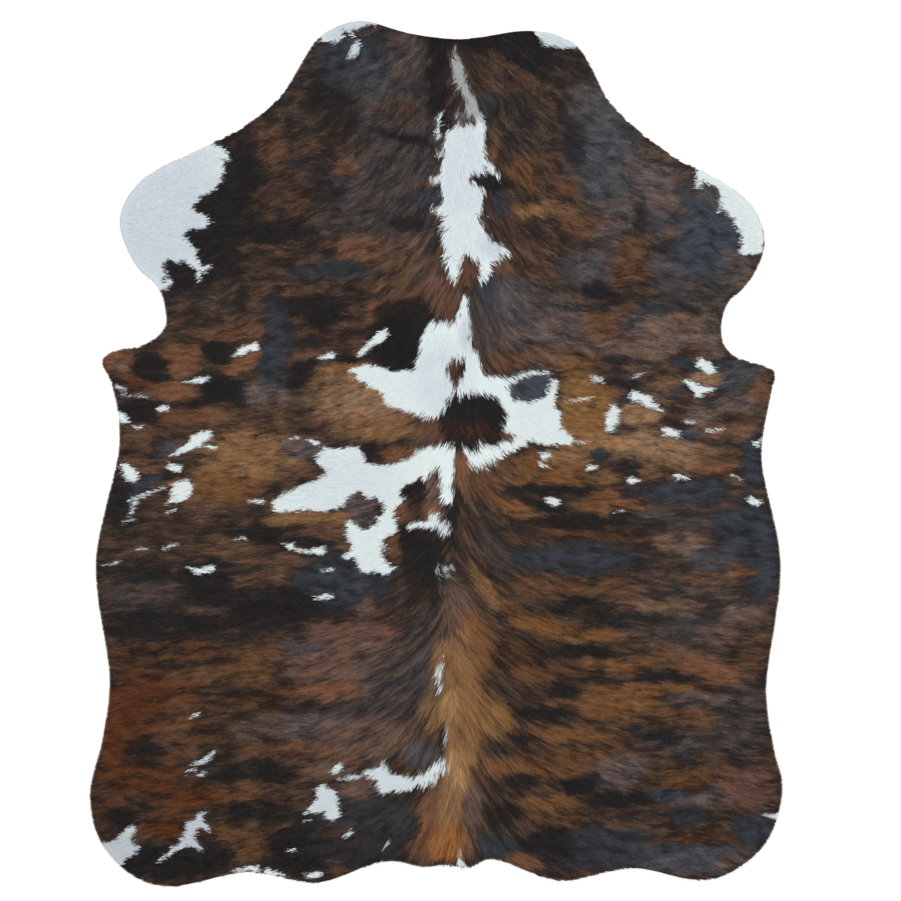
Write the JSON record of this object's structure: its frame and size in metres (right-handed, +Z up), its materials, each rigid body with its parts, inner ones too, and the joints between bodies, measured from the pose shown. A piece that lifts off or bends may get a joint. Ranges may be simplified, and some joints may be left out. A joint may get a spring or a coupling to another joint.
{
  "type": "cowhide rug",
  "caption": "Whole hair-on cattle hide laid flat as a rug, with neck, foreleg and hind corners, a wavy tail edge and a brindle coat with white patches.",
  "frame": {"origin": "middle of the hide's box, on the floor under it", "axes": "+Y along the spine towards the neck, +X to the right as seen from above, +Z up from the suede side to the hair side"},
  "size_m": [1.7548, 2.196, 0.0103],
  "materials": {
    "hair_coat": "short flat hair with a soft shine, brindle brown and black with white patches, over tan suede"
  },
  "bodies": {
    "root": {"hide": "hair_coat"}
  },
  "joints": []
}
